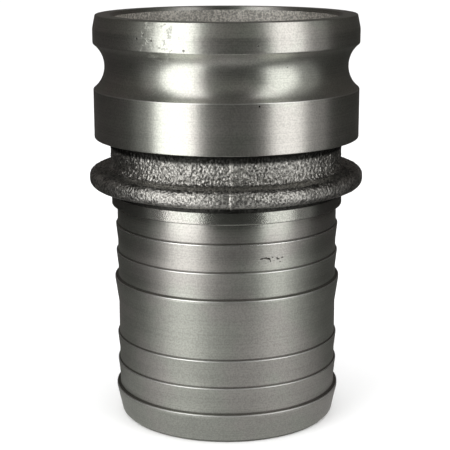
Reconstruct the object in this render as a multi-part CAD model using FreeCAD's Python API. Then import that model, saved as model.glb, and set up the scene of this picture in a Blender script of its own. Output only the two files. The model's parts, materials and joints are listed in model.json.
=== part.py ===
"""Male camlock adapter with a crimp-type hose shank, nominal 4 in (DN 100).

The real thing is one steel casting that is turned outside at both ends.  It is
modelled in three sections that meet face to face at the lines where the turning
stops: the turned cam-groove head, the as-cast neck and collar, and the turned
hose shank.  Millimetres, +Z from the hose end up to the sealing face, origin at
the centre of the hose end.
"""

import FreeCAD
import Part
import math
import os

# ---- lengths along the axis, from the hose end ----
FACE_Z = 184.0            # sealing face at the top
LAND_BOTTOM_Z = 129.4     # lower edge of the head's broad land; turned above, cast below
SHANK_TOP_Z = 104.0       # the collar's foot; cast above, turned below

# ---- waterway ----
HEAD_BORE_R = 50.8        # 4 in bore behind the sealing face
SHANK_BORE_R = 46.5       # narrower bore through neck and shank
BORE_CONE_TOP_Z = 152.0
BORE_CONE_BOTTOM_Z = 132.0

# ---- cam-groove head ----
HEAD_R = 59.75            # land and lip, 119.5 mm across: the 4 in cam-and-groove size
LIP_TAPER_Z = 178.0       # the lip narrows from here up to the face
FACE_OUTER_R = 58.5
FACE_INNER_R = 52.0
MOUTH_CHAMFER = 1.7       # axial depth of the chamfer inside the mouth
GROOVE_Z = 161.3          # middle of the cam groove
GROOVE_R = 12.7           # half-inch arc that the cams press into
GROOVE_FLOOR_R = 54.7
GROOVE_HALF_WIDTH = math.sqrt(GROOVE_R ** 2 - (GROOVE_FLOOR_R + GROOVE_R - HEAD_R) ** 2)

# ---- as-cast neck and collar ----
NECK_R = 52.5
NECK_TOP_Z = 128.8
UNDERSIDE_R = 59.3        # the head's cast underside, a little inside the turned land
COLLAR_R = 62.4
COLLAR_RIM_Z = (107.6, 115.3)     # the collar's rim, before its edges are rounded
COLLAR_ROOT_Z = (106.2, 115.7)    # where its flanks run in to the shoulder and the neck
PARTING_RIDGE = 0.35      # height of the mould's parting line above the skin
PARTING_WIDTH = 0.9
PARTING_TURN = 2.2        # degrees that the parting line lies round from the Y axis

# ---- hose shank ----
SHOULDER_R = 52.5         # turned seat for a crimp ferrule, under the collar
SHOULDER_Z = 99.0
SHOULDER_STEP = 0.4       # axial run of the step from the shoulder down to the root
ROOT_R = 50.1             # shank between the barbs
TALL_CREST_R = 51.7
LOW_CREST_R = 50.9
TALL_LAND = 1.2           # short cylinder on top of a tall barb
TALL_LEAD = 11.8          # length of the long slope that leads the hose on
LOW_LEAD = 7.5
BARB_BACK = 0.3           # axial run of the steep back that holds the hose, per mm of its height
BARB_PITCH = 12.5
BARB_GROUPS_Z = (12.8, 64.5)  # each group is one tall barb and two low ones above it
END_R = 47.9
END_CHAMFER_R = 49.3
END_CHAMFER_Z = 1.4
BORE_EDGE = 0.8           # chamfer at the shank bore's mouth

PARTS = "parts"
TOLERANCE = 1e-3


def on_profile(point):
    """A point (radius, height) as a vector in the XZ plane."""
    return FreeCAD.Vector(point[0], 0, point[1])


def section_face(start, *moves):
    """A closed profile: each move is a point to draw a line to, or an arc's middle and end points."""
    edges, here = [], start
    for move in list(moves) + [start]:
        if isinstance(move[0], tuple):
            middle, end = move
            edges.append(Part.Arc(*map(on_profile, (here, middle, end))).toShape())
            here = end
        else:
            edges.append(Part.LineSegment(on_profile(here), on_profile(move)).toShape())
            here = move
    return Part.Face(Part.Wire(edges))


def turned(face):
    """The profile revolved once round the axis."""
    return face.revolve(FreeCAD.Vector(0, 0, 0), FreeCAD.Vector(0, 0, 1), 360)


def ring_edges(solid, radius, height):
    """The circular edges of this radius at this height."""
    found = []
    for edge in solid.Edges:
        circle = edge.Curve
        if (isinstance(circle, Part.Circle) and abs(circle.Radius - radius) < TOLERANCE
                and abs(circle.Center.z - height) < TOLERANCE):
            found.append(edge)
    return found


def rounded(solid, corners):
    """The solid with each listed corner, (radius, height, round), given its round."""
    for radius, height, size in corners:
        solid = solid.makeFillet(size, ring_edges(solid, radius, height))
    return solid


def cam_groove_head():
    """The turned head: sealing face, lip, cam groove and broad land."""
    groove_bottom_z = GROOVE_Z - GROOVE_HALF_WIDTH
    groove_top_z = GROOVE_Z + GROOVE_HALF_WIDTH
    profile = section_face(
        (SHANK_BORE_R, LAND_BOTTOM_Z),
        (HEAD_R, LAND_BOTTOM_Z),
        (HEAD_R, groove_bottom_z),
        ((GROOVE_FLOOR_R, GROOVE_Z), (HEAD_R, groove_top_z)),
        (HEAD_R, LIP_TAPER_Z),
        (FACE_OUTER_R, FACE_Z),
        (FACE_INNER_R, FACE_Z),
        (HEAD_BORE_R, FACE_Z - MOUTH_CHAMFER),
        (HEAD_BORE_R, BORE_CONE_TOP_Z),
        (SHANK_BORE_R, BORE_CONE_BOTTOM_Z),
    )
    return rounded(turned(profile), [
        (HEAD_R, LAND_BOTTOM_Z, 0.4),
        (HEAD_R, groove_bottom_z, 0.6),
        (HEAD_R, groove_top_z, 1.2),
        (HEAD_R, LIP_TAPER_Z, 4.0),
        (FACE_OUTER_R, FACE_Z, 0.5),
        (FACE_INNER_R, FACE_Z, 0.3),
    ])


def cast_skin(proud=0.0):
    """The cast ring of neck and collar, with its outside standing proud by this much."""
    profile = section_face(
        (SHANK_BORE_R, SHANK_TOP_Z),
        (SHOULDER_R + proud, SHANK_TOP_Z),
        (SHOULDER_R + proud, COLLAR_ROOT_Z[0]),
        (COLLAR_R + proud, COLLAR_RIM_Z[0]),
        (COLLAR_R + proud, COLLAR_RIM_Z[1]),
        (NECK_R + proud, COLLAR_ROOT_Z[1]),
        (NECK_R + proud, NECK_TOP_Z),
        (UNDERSIDE_R + proud, LAND_BOTTOM_Z),
        (SHANK_BORE_R, LAND_BOTTOM_Z),
    )
    return rounded(turned(profile), [
        (SHOULDER_R + proud, COLLAR_ROOT_Z[0], 1.2),
        (COLLAR_R + proud, COLLAR_RIM_Z[0], 3.5),
        (COLLAR_R + proud, COLLAR_RIM_Z[1], 3.5),
        (NECK_R + proud, COLLAR_ROOT_Z[1], 1.5),
        (NECK_R + proud, NECK_TOP_Z, 4.0),
    ])


def cast_neck_and_collar():
    """The as-cast neck and collar, with the mould's parting line standing proud front and back.

    The ridge ends at the collar, so that the shoulder below is clean for a ferrule's lip.
    """
    reach = 2 * COLLAR_R + 10
    ridge_foot_z = COLLAR_ROOT_Z[0]
    slab = Part.makeBox(
        PARTING_WIDTH, reach, LAND_BOTTOM_Z - ridge_foot_z,
        FreeCAD.Vector(-PARTING_WIDTH / 2, -reach / 2, ridge_foot_z),
    )
    slab.rotate(FreeCAD.Vector(0, 0, 0), FreeCAD.Vector(0, 0, 1), PARTING_TURN)
    ridge = cast_skin(PARTING_RIDGE).common(slab)
    return cast_skin().fuse(ridge).removeSplitter()


def barb(crest_r, crest_z, lead, land=0.0):
    """One barb's outline upwards: foot of the lead slope, crest, foot of the steep back."""
    points = [(ROOT_R, crest_z - lead), (crest_r, crest_z - land / 2)]
    if land:
        points.append((crest_r, crest_z + land / 2))
    return points + [(ROOT_R, crest_z + land / 2 + (crest_r - ROOT_R) * BARB_BACK)]


def hose_shank():
    """The turned shank: two groups of barbs, a plain root and the ferrule's shoulder."""
    outside, corners = [], []
    for group_z in BARB_GROUPS_Z:
        outside += barb(TALL_CREST_R, group_z, TALL_LEAD, TALL_LAND)
        corners.append((TALL_CREST_R, group_z - TALL_LAND / 2, 0.5))
        corners.append((TALL_CREST_R, group_z + TALL_LAND / 2, 0.3))
        corners.append((*outside[-1], 0.4))
        for step in (1, 2):
            crest_z = group_z + step * BARB_PITCH
            outside += barb(LOW_CREST_R, crest_z, LOW_LEAD)
            corners.append((LOW_CREST_R, crest_z, 0.3))
    outside[0] = (END_CHAMFER_R, END_CHAMFER_Z)  # the first lead slope runs out at the end's chamfer
    profile = section_face(
        (SHANK_BORE_R + BORE_EDGE, 0.0),
        (END_R, 0.0),
        *outside,
        (ROOT_R, SHOULDER_Z - SHOULDER_STEP),
        (SHOULDER_R, SHOULDER_Z),
        (SHOULDER_R, SHANK_TOP_Z),
        (SHANK_BORE_R, SHANK_TOP_Z),
        (SHANK_BORE_R, BORE_EDGE),
    )
    return rounded(turned(profile), corners)


def main():
    os.makedirs(PARTS, exist_ok=True)
    for make in (cam_groove_head, cast_neck_and_collar, hose_shank):
        solid = make().Solids[0]
        print(f"{make.__name__}: valid {solid.isValid()}, {solid.Volume / 1000:.1f} cm3")
        solid.exportStep(os.path.join(PARTS, make.__name__ + ".step"))


main()
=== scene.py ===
# %% [markdown]
# # A 4 inch camlock adapter, turned and cast
#
# This is the male half of a cam-and-groove hose coupling. It is one stainless steel casting. A
# lathe has cut its head and its hose shank, and has left the neck and the clamp collar between
# them as they came out of the mould. So the whole look is a contrast: silky turned rings above
# and below, a dark grainy band in the middle.
#
# The adapter comes as three sections, which hold its sizes. Each is remade here as a finer mesh
# in the same place, then gets its finish, and last come the lights, the floor and the camera.

# %% Load the frame
import json
import math

import bpy
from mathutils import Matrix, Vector


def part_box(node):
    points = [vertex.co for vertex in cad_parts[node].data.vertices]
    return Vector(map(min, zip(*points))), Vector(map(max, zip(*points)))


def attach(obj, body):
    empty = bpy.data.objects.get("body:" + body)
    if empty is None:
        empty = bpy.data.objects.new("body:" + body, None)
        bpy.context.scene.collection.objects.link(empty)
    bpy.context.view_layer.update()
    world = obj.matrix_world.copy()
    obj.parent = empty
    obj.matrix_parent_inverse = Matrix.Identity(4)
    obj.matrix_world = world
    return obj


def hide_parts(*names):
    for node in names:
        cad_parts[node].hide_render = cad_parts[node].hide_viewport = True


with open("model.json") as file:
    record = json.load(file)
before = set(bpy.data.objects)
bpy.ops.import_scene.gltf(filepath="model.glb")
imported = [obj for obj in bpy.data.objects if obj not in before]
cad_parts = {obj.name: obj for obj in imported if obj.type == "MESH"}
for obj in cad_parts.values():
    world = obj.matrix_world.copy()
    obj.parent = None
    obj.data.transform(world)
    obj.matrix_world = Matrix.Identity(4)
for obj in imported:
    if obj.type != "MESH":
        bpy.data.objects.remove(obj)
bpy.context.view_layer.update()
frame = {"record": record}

MM = 0.001
bpy.ops.object.select_all(action='DESELECT')

# %% [markdown]
# Every main size is read from the model, so that nothing has to be fitted by eye. The mounts
# give the radii that matter to a mating part: the head that slides into a coupler, the barbs
# that hold the hose, the two bores. The boxes give the heights where one finish ends and the
# next begins.

# %% Read the main sizes
mounts = {mount["name"]: mount for mount in frame["record"]["mounts"]}


def mount_radius(name):
    """The radius of a round mount, in metres."""
    return mounts[name]["dims"]["r_mm"] * MM


HEAD_R = mount_radius("cam_end")
MOUTH_R = mount_radius("head_bore")
BORE_R = mount_radius("shank_bore")
TALL_CREST_R = mount_radius("hose_end")
SHOULDER_R = mount_radius("ferrule_seat")
FACE_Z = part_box("cam_groove_head")[1][2]
LAND_BOTTOM_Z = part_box("cam_groove_head")[0][2]
SHANK_TOP_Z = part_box("hose_shank")[1][2]
print(f"head {HEAD_R / MM:.2f}, mouth {MOUTH_R / MM:.2f}, bore {BORE_R / MM:.2f} mm")
print(f"heights: cast skin {SHANK_TOP_Z / MM:.1f} to {LAND_BOTTOM_Z / MM:.1f}, face {FACE_Z / MM:.1f} mm")

# %% [markdown]
# A turned part is its outline, swept once round the axis. The outline is a list of corners,
# each a radius, a height and the size of its round. One function turns the corners into points
# that are close enough together for dents and grain to have something to move: first each
# corner becomes a small arc, then the long straight runs of the outside are divided.

# %% Draw an outline
ARC_STEP = math.radians(9)
STRAIGHT = 1e-4
OUTSIDE_R = 51.0


def corner_arc(before, corner, after, radius):
    """Points of the arc that rounds off a corner, tangent to the runs on both sides of it."""
    towards = (before - corner).normalized()
    away = (after - corner).normalized()
    turn = math.pi - towards.angle(away)
    if radius <= 0 or turn < STRAIGHT:
        return [corner]
    reach = radius * math.tan(turn / 2)
    start = corner + towards * reach
    centre = corner + (towards + away).normalized() * radius / math.cos(turn / 2)
    steps = max(2, math.ceil(turn / ARC_STEP))
    first, last = start - centre, corner + away * reach - centre
    spokes = [first.slerp(last, step / steps).normalized() for step in range(steps + 1)]
    return [centre + spoke * radius for spoke in spokes]


def divided(points, spacing):
    """The points, with more of them on each long run of the outside.

    Runs inside OUTSIDE_R stay whole: the bore, and the backs and fronts of the shank's barbs.
    """
    result = [points[0]]
    for end in points[1:]:
        start = result[-1]
        outside = min(start.x, end.x) > OUTSIDE_R
        pieces = max(1, math.ceil((end - start).length / spacing - 0.2)) if outside else 1
        result += [start.lerp(end, piece / pieces) for piece in range(1, pieces + 1)]
    return result


def outline(corners, spacing):
    """Corners in millimetres, as (radius, height, round), turned into a closed ring in metres."""
    places = [Vector((corner[0], corner[1])) for corner in corners]
    points = []
    for index, corner in enumerate(corners):
        before, after = places[index - 1], places[(index + 1) % len(places)]
        points += corner_arc(before, places[index], after, corner[2] if len(corner) > 2 else 0)
    closed = divided(points + points[:1], spacing)[:-1]
    return [Vector((radius * MM, 0, height * MM)) for radius, height in closed]


# %% [markdown]
# The sweep is done as by hand. A plane is merged to one vertex, the vertex is extruded from
# point to point, and the ring is closed. Spin could take it round, but it slows down badly over
# hundreds of steps, so a Screw modifier with no rise does it. Then doubles are merged and the
# faces turned outwards. Weighted Normal keeps the flats flat right up to their rounded edges,
# which gives a machined part its crisp highlights.

# %% Turn an outline on the lathe
MERGE_DISTANCE = 0.002 * MM
SMOOTH_ANGLE = math.radians(16)


def turned(name, points, segments):
    """A solid of revolution round the Z axis, made from a closed outline."""
    bpy.ops.mesh.primitive_plane_add(size=MM, location=(0, 0, 0))
    piece = bpy.context.object
    piece.name = piece.data.name = name
    bpy.ops.object.mode_set(mode='EDIT')
    bpy.ops.mesh.select_mode(type='VERT')
    bpy.ops.mesh.merge(type='CENTER')
    bpy.ops.transform.translate(value=points[0])
    for start, end in zip(points, points[1:]):
        bpy.ops.mesh.extrude_vertices_move(TRANSFORM_OT_translate={"value": end - start})
    bpy.ops.object.mode_set(mode='OBJECT')
    vertices = piece.data.vertices
    for index, vertex in enumerate(vertices):
        vertex.select = index in (0, len(vertices) - 1)
    bpy.ops.object.mode_set(mode='EDIT')
    bpy.ops.mesh.edge_face_add()
    bpy.ops.object.mode_set(mode='OBJECT')
    bpy.ops.object.modifier_add(type='SCREW')
    screw = piece.modifiers[-1]
    screw.axis = 'Z'
    screw.angle = math.tau
    screw.screw_offset = 0
    screw.steps = screw.render_steps = segments
    screw.use_merge_vertices = True
    screw.merge_threshold = MERGE_DISTANCE
    bpy.ops.object.modifier_apply(modifier=screw.name)
    bpy.ops.object.mode_set(mode='EDIT')
    bpy.ops.mesh.select_all(action='SELECT')
    bpy.ops.mesh.remove_doubles(threshold=MERGE_DISTANCE)
    bpy.ops.mesh.normals_make_consistent(inside=False)
    bpy.ops.object.mode_set(mode='OBJECT')
    bpy.ops.object.shade_smooth_by_angle(angle=SMOOTH_ANGLE)
    print(f"{name}: {len(points)} points in the outline, {len(piece.data.polygons)} faces")
    return piece


def keep_flats_flat(piece):
    """Weights each vertex's normal by the area of its faces, and stores the result."""
    bpy.context.view_layer.objects.active = piece
    bpy.ops.object.modifier_add(type='WEIGHTED_NORMAL')
    weighting = piece.modifiers[-1]
    weighting.keep_sharp = True
    bpy.ops.object.modifier_apply(modifier=weighting.name)


# %% [markdown]
# The head is the working end. Its flat ring at the top seals against a gasket, the round groove
# is half an inch in radius because that is the shape of the cams that press into it, and the
# broad land below guides the coupler. The groove is one arc, so its points come from a formula.

# %% Turn the cam-groove head
GROOVE_Z = 161.3
GROOVE_R = 12.7
GROOVE_FLOOR_R = 54.7
GROOVE_STEPS = 16
head_r = HEAD_R / MM
face_z = FACE_Z / MM
land_bottom_z = LAND_BOTTOM_Z / MM
groove_centre_r = GROOVE_FLOOR_R + GROOVE_R
groove_reach = math.acos((groove_centre_r - head_r) / GROOVE_R)
groove_drop = GROOVE_R * math.sin(groove_reach) * MM


def groove_point(angle):
    """A point on the groove's arc: angle 0 is its floor, and positive angles lie above it."""
    return (groove_centre_r - GROOVE_R * math.cos(angle), GROOVE_Z + GROOVE_R * math.sin(angle))


groove = [
    groove_point(groove_reach * (step / GROOVE_STEPS * 2 - 1))
    for step in range(GROOVE_STEPS + 1)
]
groove[0] += (0.6,)
groove[-1] += (1.2,)
head_outline = outline([
    (BORE_R / MM, land_bottom_z),
    (head_r, land_bottom_z, 0.4),
    *groove,
    (head_r, 178.0, 4.0),
    (58.5, face_z, 0.5),
    (52.0, face_z, 0.3),
    (MOUTH_R / MM, face_z - 1.7, 0.3),
    (MOUTH_R / MM, 152.0, 3.0),
    (BORE_R / MM, 132.0, 3.0),
], spacing=1.1)
head = turned("turned_head", head_outline, segments=360)
keep_flats_flat(head)

# %% [markdown]
# Neck and collar keep the skin of the mould. The collar is what a crimped ferrule or a clamp
# hooks behind, so a hose under pressure can't slide off. It gets a much closer mesh than the
# turned ends, because its grain has to be real shape: a displaced surface glints and casts its
# own small shadows, and a painted one doesn't.

# %% Turn the cast band as a smooth blank
NECK_R = 52.5
COLLAR_R = 62.05
shank_top_z = SHANK_TOP_Z / MM
cast_outline = outline([
    (BORE_R / MM, shank_top_z),
    (SHOULDER_R / MM, shank_top_z),
    (SHOULDER_R / MM, 106.2, 1.2),
    (COLLAR_R, 107.6, 3.5),
    (COLLAR_R, 115.3, 3.5),
    (NECK_R, 115.7, 1.5),
    (NECK_R, 128.8, 4.0),
    (59.3, land_bottom_z),
    (BORE_R / MM, land_bottom_z),
], spacing=0.5)
cast_band = turned("cast_neck_and_collar_skin", cast_outline, segments=800)

# %% [markdown]
# Three things make the blank a casting. The skin sits a quarter of a millimetre off the turned
# ends, because a casting is never chucked quite true. The two halves of the mould leave a thin
# ridge down the front and the back. And the skin is grainy all over: two Displace modifiers
# with cloud noise raise it, a coarse one for lumps and a fine one for grain. Their vertex group
# fades out at both ends, so that the band still meets the turned steel cleanly.

# %% Give the band its cast skin
SKIN_INSIDE_R = BORE_R + 1.5 * MM
SKIN_FADE = 0.8 * MM
SKIN_GROUP = "skin"
MOVED_SHARE = 0.2
COLLAR_TOP_Z = 113 * MM
COLLAR_FADE = 3 * MM
COLLAR_SHARE = 0.3
CHUCK_OFFSET = Vector((-0.25 * MM, 0, 0))
RIDGE_X = 2.0 * MM
RIDGE_HALF_WIDTH = 0.45 * MM
RIDGE_HEIGHT = 0.35 * MM
RIDGE_FOOT_Z = 106.2 * MM
SKIN_MID_LEVEL = 0.75
GRAIN_SMOOTH_ANGLE = math.radians(80)


def edit_selected(piece, chosen, work):
    """Selects vertices that are chosen by their place, and works on them in edit mode."""
    bpy.ops.object.select_all(action='DESELECT')
    piece.select_set(True)
    bpy.context.view_layer.objects.active = piece
    bpy.ops.object.mode_set(mode='EDIT')
    bpy.ops.mesh.select_mode(type='VERT')
    bpy.ops.mesh.select_all(action='DESELECT')
    bpy.ops.object.mode_set(mode='OBJECT')
    for vertex in piece.data.vertices:
        vertex.select = chosen(vertex.co)
    bpy.ops.object.mode_set(mode='EDIT')
    work()
    bpy.ops.object.mode_set(mode='OBJECT')


def clamped(value):
    """The value, kept between 0 and 1."""
    return max(0.0, min(1.0, value))


def skin_share(place):
    """How rough the skin is: 1 on the neck, less on the collar, 0 in the bore and at the ends."""
    if place.xy.length < SKIN_INSIDE_R:
        return 0.0
    to_joint = min(place.z - SHANK_TOP_Z, LAND_BOTTOM_Z - place.z)
    on_neck = clamped((place.z - COLLAR_TOP_Z) / COLLAR_FADE)
    return clamped(to_joint / SKIN_FADE) * (COLLAR_SHARE + (1 - COLLAR_SHARE) * on_neck)


def on_ridge(place):
    """Whether a place lies on the parting line, which runs from the collar up."""
    near_line = abs(abs(place.x) - RIDGE_X) < RIDGE_HALF_WIDTH and place.x * place.y < 0
    return near_line and place.z > RIDGE_FOOT_Z and skin_share(place) > MOVED_SHARE


edit_selected(
    cast_band,
    lambda place: skin_share(place) > MOVED_SHARE,
    lambda: bpy.ops.transform.translate(value=CHUCK_OFFSET),
)
edit_selected(
    cast_band,
    on_ridge,
    lambda: bpy.ops.transform.shrink_fatten(value=RIDGE_HEIGHT),
)

skin = cast_band.vertex_groups.new(name=SKIN_GROUP)
for vertex in cast_band.data.vertices:
    share = skin_share(vertex.co)
    if share > 0:
        skin.add([vertex.index], share, 'REPLACE')

for name, size, depth in (
    ("mould_lumps", 3.2 * MM, 0.2 * MM),
    ("mould_grain", 0.8 * MM, 1.0 * MM),
):
    grain = bpy.data.textures.new(name, 'CLOUDS')
    grain.noise_scale = size
    grain.noise_depth = 1
    bpy.ops.object.modifier_add(type='DISPLACE')
    raising = cast_band.modifiers[-1]
    raising.texture = grain
    raising.texture_coords = 'LOCAL'
    raising.vertex_group = SKIN_GROUP
    raising.strength = depth
    raising.mid_level = SKIN_MID_LEVEL
    bpy.ops.object.modifier_apply(modifier=raising.name)
bpy.ops.object.shade_smooth_by_angle(angle=GRAIN_SMOOTH_ANGLE)

# %% [markdown]
# The shank is turned too, but more coarsely. Each barb has a long slope that leads the hose on
# and a steep back that holds it, so from above each barb shows only as a thin bright edge. The
# barbs stand in two groups, one tall and two low, so that a ferrule grips over each group.

# %% Turn the hose shank
ROOT_R = 50.1
LOW_CREST_R = 50.9
BARB_BACK = 0.3
BARB_PITCH = 12.5
END_CHAMFER = (49.3, 1.4)


def barb(crest_r, crest_z, lead, land):
    """One barb upwards: foot of the long slope, the crest's short land, foot of the steep back."""
    back = (crest_r - ROOT_R) * BARB_BACK
    return [
        (ROOT_R, crest_z - lead),
        (crest_r, crest_z - land / 2, 0.3),
        (crest_r, crest_z + land / 2, 0.25),
        (ROOT_R, crest_z + land / 2 + back, 0.3),
    ]


barbs, crest_edges = [], []
for group_z in (12.8, 64.5):
    barbs += barb(TALL_CREST_R / MM, group_z, lead=11.8, land=1.2)
    barbs += barb(LOW_CREST_R, group_z + BARB_PITCH, lead=7.5, land=0.4)
    barbs += barb(LOW_CREST_R, group_z + 2 * BARB_PITCH, lead=7.5, land=0.4)
    crest_edges += [(group_z + up) * MM for up in (0.6, BARB_PITCH + 0.2, 2 * BARB_PITCH + 0.2)]
barbs[0] = END_CHAMFER
shoulder_r = SHOULDER_R / MM
shank_outline = outline([
    (BORE_R / MM + 0.8, 0.0, 0.2),
    (47.9, 0.0, 0.3),
    *barbs,
    (ROOT_R, 98.6, 0.5),
    (shoulder_r, 99.0, 0.3),
    (shoulder_r, shank_top_z),
    (BORE_R / MM, shank_top_z),
    (BORE_R / MM, 0.8, 0.2),
], spacing=1.4)
shank = turned("turned_hose_shank", shank_outline, segments=360)
keep_flats_flat(shank)

# %% [markdown]
# Now the pieces take the places of the plain sections. Each rides on the adapter's one body,
# and hides the section that it replaces.

# %% Put the pieces in place
for piece, node, slot in (
    (head, "cam_groove_head", "turned_steel"),
    (cast_band, "cast_neck_and_collar", "cast_steel"),
    (shank, "hose_shank", "turned_steel"),
):
    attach(piece, "root")
    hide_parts(node)

# %% [markdown]
# Shader maths reads better as Python than as a web of nodes. A small class wraps a node's
# output, and gives it plus, minus, times and the like, so that an expression adds its Math
# nodes by itself.

# %% A way to write shader maths


class Field:
    """A value that changes over a surface: one output socket of a material's nodes."""

    def __init__(self, shader, socket):
        self.shader = shader
        self.socket = socket

    def math(self, operation, *others):
        return self.shader.node('ShaderNodeMath', {"operation": operation}, [self, *others])

    def __add__(self, other):
        return self.math('ADD', other)

    def __sub__(self, other):
        return self.math('SUBTRACT', other)

    def __rsub__(self, other):
        return self.shader.node('ShaderNodeMath', {"operation": 'SUBTRACT'}, [other, self])

    def __mul__(self, other):
        return self.math('MULTIPLY', other)

    def __pow__(self, other):
        return self.math('POWER', other)

    __radd__ = __add__
    __rmul__ = __mul__

    def near(self, value, reach):
        """1 within this reach of a value, else 0."""
        return self.math('COMPARE', value, reach)

    def between(self, low, high):
        """0 at low, 1 at high, and a smooth step in between."""
        settings = {"interpolation_type": 'SMOOTHSTEP'}
        return self.shader.node('ShaderNodeMapRange', settings, [self, low, high])


class Shader:
    """The nodes of one material or world, and a way to add more of them."""

    def __init__(self, owner, main_node="Principled BSDF", coordinates="Object"):
        owner.use_nodes = True
        self.owner = owner
        self.tree = owner.node_tree
        self.surface = self.tree.nodes[main_node]
        self.place = self.node('ShaderNodeTexCoord', output=coordinates)

    def node(self, kind, settings=None, values=(), output=0):
        """Adds a node, makes its settings, then fills its inputs with numbers or links."""
        made = self.tree.nodes.new(kind)
        for setting, value in (settings or {}).items():
            setattr(made, setting, value)
        pairs = values.items() if isinstance(values, dict) else enumerate(values)
        for socket, value in pairs:
            if isinstance(value, Field):
                self.tree.links.new(value.socket, made.inputs[socket])
            else:
                made.inputs[socket].default_value = value
        return Field(self, made.outputs[output])

    def axes(self, field):
        """The X, Y and Z of a vector, each as a value."""
        split = self.tree.nodes.new('ShaderNodeSeparateXYZ')
        self.tree.links.new(field.socket, split.inputs[0])
        return [Field(self, output) for output in split.outputs]

    def set(self, **inputs):
        """Gives the surface's own inputs their numbers or links: base_color sets Base Color."""
        for name, value in inputs.items():
            socket = self.surface.inputs[name.replace("_", " ").title()]
            if isinstance(value, Field):
                self.tree.links.new(value.socket, socket)
            else:
                socket.default_value = value

    def noise(self, vector, scale, detail=2.0, roughness=0.5):
        """Smooth noise from 0 to 1, with its scale counted in waves per metre."""
        values = {"Vector": vector, "Scale": scale, "Detail": detail, "Roughness": roughness}
        return self.node('ShaderNodeTexNoise', None, values)

    def noise_along(self, distance, scale, detail=2.0):
        """Noise that changes along one distance only, as a tool's marks do."""
        values = {"W": distance, "Scale": scale, "Detail": detail}
        return self.node('ShaderNodeTexNoise', {"noise_dimensions": '1D'}, values)

    def distance_to(self, point):
        """How far the shaded point is from a place."""
        settings = {"operation": 'DISTANCE'}
        return self.node('ShaderNodeVectorMath', settings, [self.place, point], output=1)

    def mix(self, factor, first, second):
        """A colour between two colours."""
        values = {"Factor": factor, 6: first, 7: second}
        return self.node('ShaderNodeMix', {"data_type": 'RGBA'}, values, output=2)

    def bump(self, height):
        """The normal of a surface that rises by the height, in metres."""
        values = {"Height": height, "Distance": 1.0, "Strength": 1.0}
        return self.node('ShaderNodeBump', None, values)


# %% [markdown]
# Turned steel shines in upright streaks. Each turn of the lathe leaves a fine ring, and the
# rings throw light up and down more than sideways: the shader's anisotropy does just that. Over
# it lie the marks that can be seen: rings of uneven depth, a fine even grain, and a tint that
# drifts between warm and green where the metal has been washed and handled. The lip takes the
# knocks when the adapter is dropped or dragged, so it has nicks and a scuffed patch as well.

# %% Finish for turned steel
GREEN_TINT = (0.985, 1.0, 0.9)
WARM_TINT = (1.0, 0.965, 0.9)
# Dark colour of pits, nicks and pores, also used for the painted shade behind the shank's crests.
PIT_AND_SHADE_COLOR = (0.05, 0.045, 0.04, 1)
# Light colour for the groove's lower edge: partly rubbed wear, partly a painted highlight.
RUBBED_AND_HIGHLIT_COLOR = (0.85, 0.85, 0.82, 1)


def on_wall(azimuth, radius, height):
    """A place on the outside: degrees to the right of the front, then radius and height in mm."""
    turn = math.radians(azimuth)
    return Vector((radius * math.sin(turn), -radius * math.cos(turn), height)) * MM


def any_of(zones):
    """1 in any of the zones, which don't overlap, else 0."""
    return sum(zones[1:], zones[0])


def tinted(color, tint, share=1.0):
    """A colour under a tint and a share of brightness, with its alpha."""
    return tuple(channel * hue * share for channel, hue in zip(color, tint)) + (1,)


class TurnedSteel(Shader):
    """Bare steel off the lathe, with rings round the axis."""

    def __init__(self, name, color, stretch):
        super().__init__(bpy.data.materials.new(name))
        x, y, self.z = self.axes(self.place)
        along = self.z + (x * x + y * y) ** 0.5 * 0.9
        self.rings = self.noise_along(along, 2000, detail=3.0)
        self.bands = self.noise_along(along, 110, detail=2.0)
        self.grain = self.noise(self.place, 1500, detail=1.0)
        self.cloud = self.noise(self.place, 24, detail=4.0, roughness=0.6)
        tone = self.rings * 0.25 + self.bands * 0.15 + self.grain * 0.5 + self.cloud * 0.1
        tone = tone.between(0.38, 0.62)
        green = self.mix(tone, tinted(color, GREEN_TINT, 0.84), tinted(color, GREEN_TINT, 1.1))
        warm = self.mix(tone, tinted(color, WARM_TINT, 0.84), tinted(color, WARM_TINT, 1.1))
        self.color = self.mix(self.cloud.between(0.46, 0.6), green, warm)
        self.mottle = (self.bands - 0.5) * 0.08 + (self.cloud - 0.5) * 0.12
        self.set(metallic=1.0, anisotropic=stretch, anisotropic_rotation=0.25)

    def spots(self, places, reach):
        """1 close to any of these places, else 0."""
        return any_of([self.distance_to(place).between(reach, reach * 0.6) for place in places])


head_steel = TurnedSteel("satin_turned_steel", (0.56, 0.56, 0.56), stretch=0.6)
nicks = head_steel.spots([on_wall(azimuth, 59.7, height) for azimuth, height in (
    (-17.0, 172.6), (-18.4, 170.2), (-38.5, 176.8), (-35.2, 178.4), (-31.0, 176.2), (12.4, 174.5),
)], 0.55 * MM)
scuffed = head_steel.spots([on_wall(-28, 59.6, 176.5)], 12 * MM)
scuffed *= head_steel.noise(head_steel.place, 330, detail=4.0, roughness=0.75).between(0.55, 0.6)
pits = head_steel.spots([on_wall(*place) for place in (
    (-5.4, 54.9, 157.0), (27.0, 55.6, 165.0), (13.0, 59.75, 150.0),
)], 0.5 * MM)
# The groove's lower edge, where it meets the land, gets a lighter colour: partly rubbed wear, partly a
# painted highlight.
rubbed_and_highlit_groove_edge = head_steel.z.near(GROOVE_Z * MM - groove_drop, 0.25 * MM)
polished_and_highlit = head_steel.mix(rubbed_and_highlit_groove_edge * 0.6, head_steel.color, RUBBED_AND_HIGHLIT_COLOR)
head_steel.set(
    base_color=head_steel.mix(pits + nicks * 0.55, polished_and_highlit, PIT_AND_SHADE_COLOR),
    roughness=0.315 + head_steel.mottle + scuffed * 0.16,
    normal=head_steel.bump(
        head_steel.rings * (0.012 * MM) + head_steel.grain * (0.02 * MM)
        - scuffed * (0.05 * MM) - nicks * (0.25 * MM)
    ),
)
head.data.materials.append(head_steel.owner)
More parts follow.
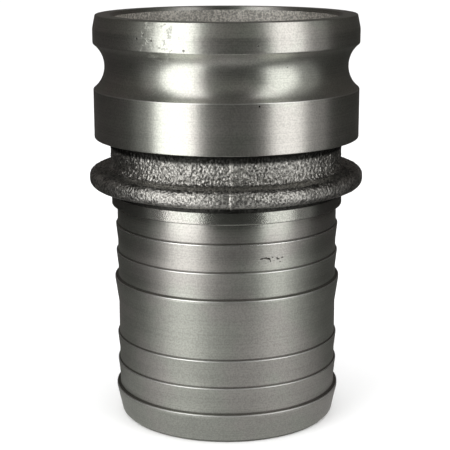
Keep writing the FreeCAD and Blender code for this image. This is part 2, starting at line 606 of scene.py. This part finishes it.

# %% [markdown]
# The shank is matte from washing and handling, but glossy by the shoulder, where the collar
# shelters it. Its sharp crests are rubbed, and their colour is lightened as a painted highlight;
# the corners behind them are darkened as painted shade. A run of small pores shows where gas
# was trapped in the casting.

# %% Finish for the shank
# Light colour for the crests' edges: partly rubbed wear, partly a painted highlight.
CREST_WEAR_AND_HIGHLIGHT_COLOR = (0.9, 0.9, 0.88, 1)
shank_steel = TurnedSteel("coarse_turned_steel", (0.435, 0.435, 0.435), stretch=0.35)
z = shank_steel.z
# The crests' edges get a lighter colour, partly real wear and partly a painted highlight, and a lower
# roughness.
rubbed_and_highlit_crests = any_of([z.near(crest - 0.1 * MM, 0.22 * MM) for crest in crest_edges])
# Painted shade: a dark band just above each crest, on the barb's back, is painted into the colour.
painted_shade_behind_crests = any_of([z.near(crest + 0.45 * MM, 0.33 * MM) for crest in crest_edges])
pore_noise = shank_steel.noise(shank_steel.place, 620, detail=1.0).between(0.57, 0.62)
pore_run = [on_wall(azimuth, ROOT_R + 0.3, 82.5) for azimuth in (17, 19.5, 22, 24.5, 27)]
pores = pore_noise * shank_steel.spots(pore_run, 1.9 * MM)
worn_and_highlit = shank_steel.mix(rubbed_and_highlit_crests * 0.75, shank_steel.color, CREST_WEAR_AND_HIGHLIGHT_COLOR)
shank_with_painted_shade = shank_steel.mix(painted_shade_behind_crests * 0.6, worn_and_highlit, PIT_AND_SHADE_COLOR)
shank_steel.set(
    base_color=shank_steel.mix(pores * 0.8, shank_with_painted_shade, PIT_AND_SHADE_COLOR),
    roughness=(
        0.5 - 0.11 * z.between(0.05, 0.085) - 0.13 * z.between(0.088, 0.1)
        + shank_steel.mottle - rubbed_and_highlit_crests * 0.12
    ),
    normal=shank_steel.bump(
        shank_steel.rings * (0.016 * MM) + shank_steel.grain * (0.03 * MM) - pores * (0.15 * MM)
    ),
)
shank.data.materials.append(shank_steel.owner)

# %% [markdown]
# The cast skin is darker and grainy, with bright points where a grain's tip faces a light. The
# waterway was formed by a sand core and is hardly ever machined, so the walls of the bore get
# the same kind of skin, a little browner. Each mesh then has two materials, shared out by face.

# %% Finish for the cast skin
# Near-black colour of the painted shade on the skin under the head's land and under the collar.
PAINTED_SHADE_COLOR = (0.02, 0.02, 0.018, 1)
UNDER_LAND_Z = (123.8 * MM, 125.6 * MM)
UNDER_COLLAR_Z = (108.4 * MM, 106.6 * MM)
WALL_TOLERANCE = 0.1 * MM


def cast_steel(name, color, grain_height, roughness, contrast, with_painted_shade=False):
    """The blasted skin of a steel casting, with or without painted shade darkening its colour under the
    land and the collar.
    """
    steel = Shader(bpy.data.materials.new(name))
    _, _, z = steel.axes(steel.place)
    grain = steel.noise(steel.place, 1000, detail=2.0, roughness=0.6)
    patches = steel.noise(steel.place, 90, detail=3.0)
    dark = tuple(channel * (1 - contrast) for channel in color) + (1,)
    light = tuple(min(1, channel * (1 + contrast)) for channel in color) + (1,)
    tone = (grain * 0.75 + patches * 0.25).between(0.38, 0.62)
    skin_color = steel.mix(tone, dark, light)
    if with_painted_shade:
        # Painted shade: the skin's colour is darkened just under the land and just under the collar,
        # where shade falls.
        painted_shade_zones = z.between(*UNDER_LAND_Z) + z.between(*UNDER_COLLAR_Z)
        skin_color = steel.mix(painted_shade_zones * 0.95, skin_color, PAINTED_SHADE_COLOR)
    steel.set(
        base_color=skin_color,
        metallic=1.0,
        roughness=roughness + (patches - 0.5) * 0.15,
        normal=steel.bump(grain * grain_height),
    )
    return steel.owner


cast_skin = cast_steel(
    "grainy_cast_steel", (0.38, 0.37, 0.345),
    grain_height=0.4 * MM, roughness=0.3, contrast=0.58, with_painted_shade=True,
)
bore_skin = cast_steel(
    "cored_bore_steel", (0.62, 0.6, 0.56),
    grain_height=0.2 * MM, roughness=0.6, contrast=0.35,
)
cast_band.data.materials.append(cast_skin)


def finish_bore(piece, material, wall_r, low, high):
    """Gives the faces of the bore's wall their own material."""
    piece.data.materials.append(material)
    slot = len(piece.data.materials) - 1
    faces = [
        face for face in piece.data.polygons
        if face.center.xy.length < wall_r and low < face.center.z < high
    ]
    for face in faces:
        face.material_index = slot
    print(f"{piece.name}: {len(faces)} faces in the bore, {len(piece.data.polygons)} in all")


finish_bore(head, bore_skin, MOUTH_R + WALL_TOLERANCE, LAND_BOTTOM_Z + WALL_TOLERANCE, FACE_Z)
finish_bore(shank, bore_skin, BORE_R + WALL_TOLERANCE, 1 * MM, SHANK_TOP_Z - WALL_TOLERANCE)
finish_bore(cast_band, bore_skin, BORE_R + WALL_TOLERANCE, SHANK_TOP_Z, LAND_BOTTOM_Z)

# %% [markdown]
# The stage is a plain pale floor that runs on into a white surround. Polished metal shows
# whatever stands round it, so the metal is given a dim room to reflect, a little lighter above
# the horizon in front. The wide floor isn't mirrored, only a round card at the adapter's foot,
# which lifts the lower half of the shank. Then the softboxes draw the form.

# %% Floor and surround
FLOOR_SIZE = 8.0
bpy.ops.mesh.primitive_plane_add(size=FLOOR_SIZE, location=(0, 0, 0))
floor = bpy.context.object
floor.name = "floor"
paint = Shader(bpy.data.materials.new("pale_floor_paint"))
paint.set(base_color=(0.98, 0.98, 0.98, 1), roughness=0.9)
floor.data.materials.append(paint.owner)
floor.visible_glossy = False
floor.visible_shadow = False

CARD_RADIUS = 0.11
CARD_GLOW = 0.32
CARD_PLACE = (0, -0.06, 0.001)
bpy.ops.mesh.primitive_circle_add(
    vertices=64, radius=CARD_RADIUS, fill_type='NGON', location=CARD_PLACE,
)
card = bpy.context.object
card.name = "reflector_card"
glow = Shader(bpy.data.materials.new("pale_card"))
glow.set(base_color=(0, 0, 0, 1), emission_color=(1, 1, 1, 1), emission_strength=CARD_GLOW)
card.data.materials.append(glow.owner)
for ray in ("camera", "diffuse", "shadow", "transmission"):
    setattr(card, "visible_" + ray, False)

OPEN_WHITE = 1.15
ROOM_DIM = 0.012
ROOM_HIGH = 0.1
surround = Shader(bpy.data.worlds.new("surround"), main_node="Background", coordinates="Generated")
bpy.context.scene.world = surround.owner
_, depth, height = surround.axes(surround.place)
in_front = depth.between(0.5, -0.8)
high = height.between(-0.15, 0.3) * (1 - height.between(0.6, 0.85))
room = ROOM_DIM + ROOM_HIGH * (0.3 + 0.7 * in_front) * high
room_color = surround.mix(in_front, (1.0, 0.88, 0.82, 1), (0.97, 1.0, 0.89, 1))
mirrored = surround.node('ShaderNodeLightPath', output="Is Glossy Ray")
surround.set(
    color=surround.mix(mirrored, (1, 1, 1, 1), room_color),
    strength=OPEN_WHITE + mirrored * (room - OPEN_WHITE),
)

# %% [markdown]
# Two tall softboxes stand left and right in front, as beside a product table, each with a dim
# one at its outer side that lets its streak fade out softly, and one more stands behind.
# A softbox is an area light: its size sets how wide a streak it draws on the metal.

# %% Lights
LIGHT_DISTANCE = 1.1
LIGHT_TOP = 2.2
LIGHT_FOOT = -1.3


def softbox(name, azimuths, low, high, brightness):
    """An upright area light that fills the view between two azimuths: 0 is the front, + right."""
    middle = math.radians(sum(azimuths) / 2)
    half = math.radians((azimuths[1] - azimuths[0]) / 2)
    lamp = bpy.data.lights.new(name, 'AREA')
    lamp.shape = 'RECTANGLE'
    lamp.size = 2 * LIGHT_DISTANCE * math.tan(half)
    lamp.size_y = high - low
    lamp.energy = brightness * lamp.size * lamp.size_y * math.pi
    holder = bpy.data.objects.new(name, lamp)
    bpy.context.scene.collection.objects.link(holder)
    place = Vector((math.sin(middle), -math.cos(middle), 0)) * LIGHT_DISTANCE
    holder.location = place + Vector((0, 0, (low + high) / 2))
    holder.rotation_euler = (math.pi / 2, 0, middle)
    holder.visible_camera = False
    return holder


softbox("left_softbox", (-61, -25), LIGHT_FOOT, LIGHT_TOP, brightness=2.3)
softbox("right_softbox", (37, 67), -0.7, LIGHT_TOP, brightness=1.6)
softbox("left_fill", (-82, -61), LIGHT_FOOT, LIGHT_TOP, brightness=0.14)
softbox("right_fill", (67, 92), -0.9, LIGHT_TOP, brightness=0.22)
softbox("rear_softbox", (166, 194), LIGHT_FOOT, -0.15, brightness=0.5)

# %% [markdown]
# The camera looks slightly down from about 60 cm, on the adapter's axis, through a portrait
# lens, so the top ring shows as a thin ellipse and the sides stay nearly parallel.

# %% Camera
TILT_DOWN = math.radians(12.75)
ROLL = math.radians(0.12)
lens = bpy.data.cameras.new("portrait_lens")
lens.sensor_width = 36
lens.lens = 106.5
camera = bpy.data.objects.new("camera", lens)
bpy.context.scene.collection.objects.link(camera)
camera.location = (-0.5 * MM, -599.4 * MM, 222.9 * MM)
camera.rotation_euler = (math.pi / 2 - TILT_DOWN, ROLL, 0)
bpy.context.scene.camera = camera
bpy.context.scene.view_settings.view_transform = 'Standard'
